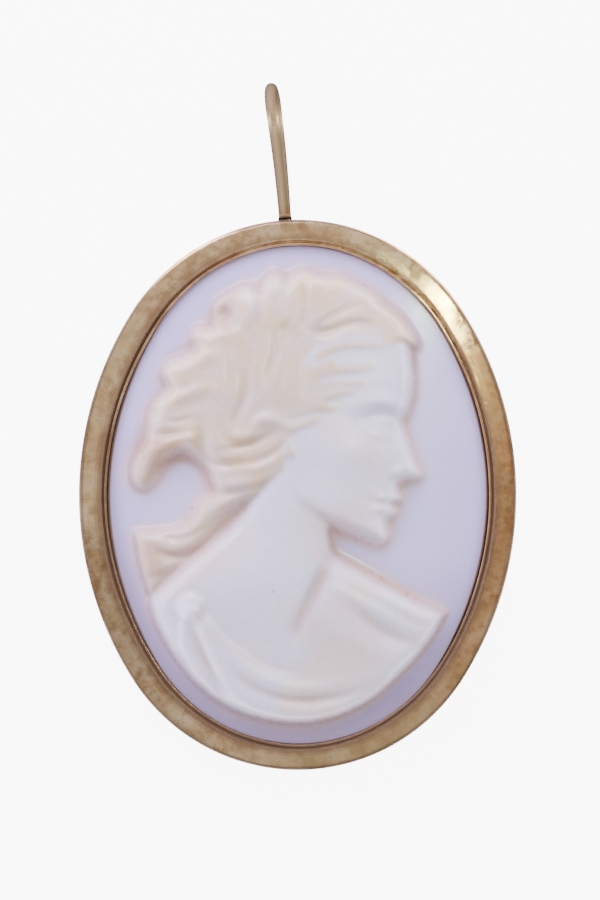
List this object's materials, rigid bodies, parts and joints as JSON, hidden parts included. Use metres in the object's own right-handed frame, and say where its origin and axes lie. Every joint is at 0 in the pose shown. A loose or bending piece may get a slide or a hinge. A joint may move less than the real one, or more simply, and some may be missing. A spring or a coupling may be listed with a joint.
{
  "type": "cameo pendant",
  "caption": "Oval shell cameo with a classical lady in profile, held by a thin lip in a plain gold border, with a long soldered wire bail for a chain.",
  "frame": {"origin": "middle of the whole outline, bail included, on the surface that the back rim lies on", "axes": "+Z out of the carved face, +Y towards the bail, +X to the side that the lady looks to"},
  "size_m": [0.0318, 0.05, 0.0061],
  "materials": {
    "gold": "old yellow gold alloy, brushed flat by wear, darker in the groove",
    "shell": "carved shell: lilac-pink polished ground, cream carving with a soft sheen"
  },
  "bodies": {
    "root": {"setting": "gold", "cameo": "shell"}
  },
  "joints": []
}
